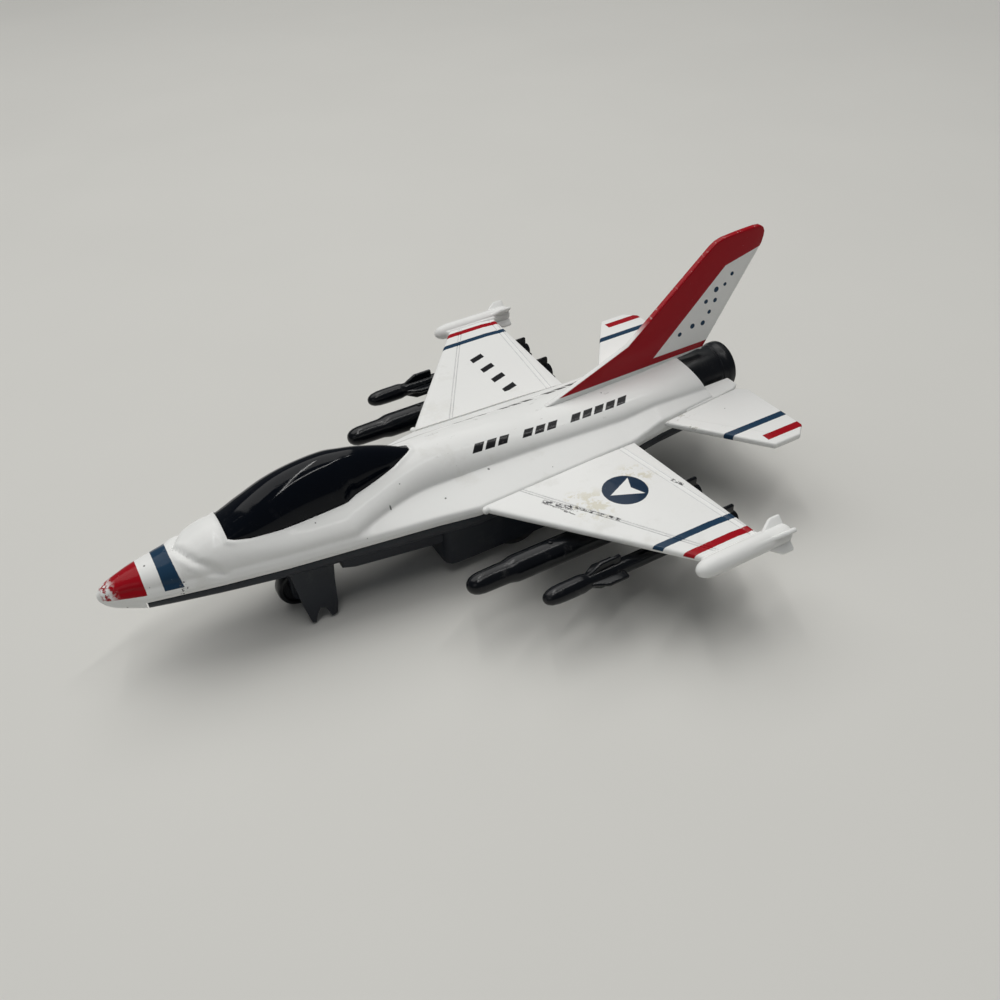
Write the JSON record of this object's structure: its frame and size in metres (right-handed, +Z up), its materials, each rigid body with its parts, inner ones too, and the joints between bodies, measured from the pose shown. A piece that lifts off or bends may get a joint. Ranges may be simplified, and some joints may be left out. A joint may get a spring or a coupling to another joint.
{
  "type": "toy airplane",
  "caption": "Pull-back toy jet fighter with a hollow cast body, swept wings, dark canopy, underwing stores, plastic chassis, rolling wheels and a geared spring motor.",
  "frame": {"origin": "on the ground under the middle of the overall length, on the centre plane", "axes": "+X to the nose, +Y to the left wing, +Z up"},
  "size_m": [0.1744, 0.1276, 0.0597],
  "materials": {
    "white_enamel": "gloss white enamel on cast metal",
    "fin_enamel": "gloss red and white enamel on cast metal",
    "canopy_plastic": "polished smoky black",
    "black_plastic": "semi-gloss black",
    "chassis_plastic": "satin blue-black",
    "wheel_plastic": "satin black",
    "tyre_rubber": "matt black",
    "motor_nylon": "natural moulded plastic",
    "steel": "bright",
    "spring_steel": "blued"
  },
  "bodies": {
    "airframe": {"fuselage_shell": "white_enamel", "canopy": "canopy_plastic", "left_wing": "white_enamel", "right_wing": "white_enamel", "left_tailplane": "white_enamel", "right_tailplane": "white_enamel", "tail_fin": "fin_enamel", "exhaust_nozzle": "black_plastic", "chassis": "chassis_plastic", "front_chassis_screw": "steel", "rear_chassis_screw": "steel", "nose_axle": "steel", "motor_case_left": "motor_nylon", "motor_case_right": "motor_nylon", "mainspring": "spring_steel", "left_inner_store": "black_plastic", "left_outer_store": "black_plastic", "right_inner_store": "black_plastic", "right_outer_store": "black_plastic"},
    "nose_wheel": {"nose_wheel": "wheel_plastic"},
    "rear_wheelset": {"rear_axle": "steel", "axle_pinion": "motor_nylon", "left_wheel_hub": "wheel_plastic", "left_tyre": "tyre_rubber", "right_wheel_hub": "wheel_plastic", "right_tyre": "tyre_rubber"},
    "idler": {"idler_shaft": "steel", "idler_gear": "motor_nylon"},
    "arbor": {"spring_arbor": "steel", "spring_gear": "motor_nylon"}
  },
  "joints": [
    {"name": "nose_wheel_roll", "type": "hinge", "parent": "airframe", "child": "nose_wheel", "pos_m": [0.04609, 0, 0.005], "axis": [0, 1, 0], "continuous": true},
    {"name": "rear_wheels_roll", "type": "hinge", "parent": "airframe", "child": "rear_wheelset", "pos_m": [-0.00779, 0, 0.007], "axis": [0, 1, 0], "continuous": true},
    {"name": "idler_spin", "type": "hinge", "parent": "airframe", "child": "idler", "pos_m": [-0.00136, 0, 0.01259], "axis": [0, 1, 0], "continuous": true},
    {"name": "arbor_spin", "type": "hinge", "parent": "airframe", "child": "arbor", "pos_m": [0.00388, 0, 0.0193], "axis": [0, 1, 0], "continuous": true}
  ],
  "couplings": [
    {"joint": "idler_spin", "follows": "rear_wheels_roll", "ratio": -0.55556},
    {"joint": "arbor_spin", "follows": "rear_wheels_roll", "ratio": 0.30864}
  ]
}
